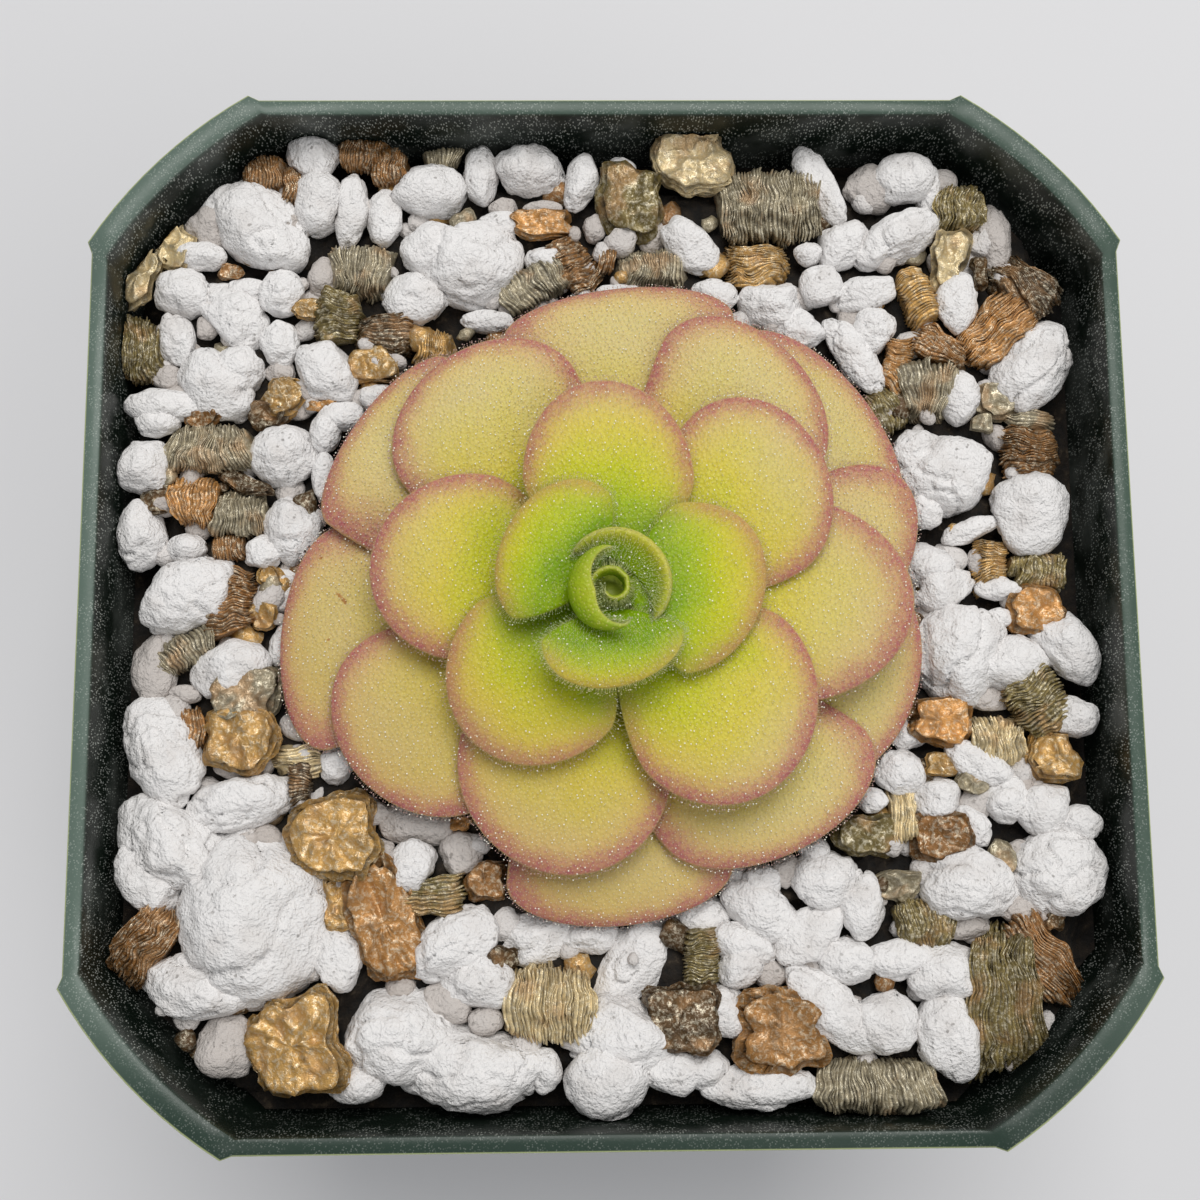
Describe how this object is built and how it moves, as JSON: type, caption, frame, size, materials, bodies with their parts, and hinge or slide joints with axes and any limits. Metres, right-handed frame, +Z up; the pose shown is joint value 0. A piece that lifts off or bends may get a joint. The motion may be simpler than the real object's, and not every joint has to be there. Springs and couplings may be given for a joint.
{
  "type": "butterwort in a square nursery pot",
  "caption": "Flat rosette of fleshy, sticky-glanded leaves in a coarse perlite and vermiculite mix, in a small square plastic nursery pot with cut corners.",
  "frame": {"origin": "middle of the pot's foot, on the surface it stands on", "axes": "+Z up out of the pot; +X and +Y along the pot's sides, +Y towards the picture's upper edge"},
  "size_m": [0.0874, 0.0874, 0.0849],
  "materials": {
    "leaf_inner": "fleshy young leaves, glandular, satin",
    "leaf_outer": "fleshy older leaves with mauve margins, glandular, satin",
    "crown": "short fleshy stem",
    "mix": "coarse perlite and vermiculite, matte",
    "pot": "dark green moulded plastic, satin, dusty"
  },
  "bodies": {
    "root": {"pot": "pot", "media": "mix", "crown": "crown", "leaf_01": "leaf_inner", "leaf_02": "leaf_inner", "leaf_03": "leaf_inner", "leaf_04": "leaf_inner", "leaf_05": "leaf_inner", "leaf_06": "leaf_inner", "leaf_07": "leaf_inner", "leaf_08": "leaf_inner", "leaf_09": "leaf_inner", "leaf_10": "leaf_inner", "leaf_11": "leaf_outer", "leaf_12": "leaf_outer", "leaf_13": "leaf_outer", "leaf_14": "leaf_outer", "leaf_15": "leaf_outer", "leaf_16": "leaf_outer", "leaf_17": "leaf_outer", "leaf_18": "leaf_outer", "leaf_19": "leaf_outer", "leaf_20": "leaf_outer", "leaf_21": "leaf_outer", "leaf_22": "leaf_outer", "leaf_23": "leaf_outer", "leaf_24": "leaf_outer"}
  },
  "joints": []
}
